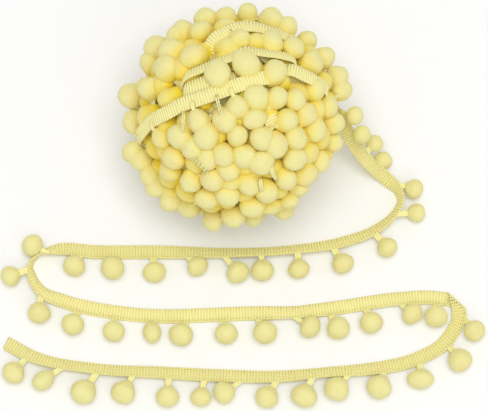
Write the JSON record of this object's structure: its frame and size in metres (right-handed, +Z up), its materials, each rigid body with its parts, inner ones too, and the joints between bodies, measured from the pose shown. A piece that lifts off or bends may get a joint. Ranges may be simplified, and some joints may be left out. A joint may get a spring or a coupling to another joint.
{
  "type": "pompom fringe trim",
  "caption": "Ball of narrow woven tape with soft round pompoms hanging from one edge, its loose end laid on the table in three runs.",
  "frame": {"origin": "middle of the flat spot that the ball rests on, at table height", "axes": "+Z up, +X along the laid-out runs towards the fold where the tape turns back, +Y from the laid-out runs towards the ball"},
  "size_m": [0.213, 0.1685, 0.0934],
  "materials": {
    "pompom_pile": "soft matt pile of fine cut yarn, pale lemon yellow",
    "woven_tape": "matt ribbed tape of fine yarn with chain-stitched wales, pale lemon yellow"
  },
  "bodies": {
    "root": {"ball": "pompom_pile", "tape": "woven_tape", "fringe_from_ball": "pompom_pile", "fringe_run_1": "pompom_pile", "fringe_left_turn": "pompom_pile", "fringe_run_2": "pompom_pile", "fringe_right_turn": "pompom_pile", "fringe_run_3": "pompom_pile"}
  },
  "joints": []
}
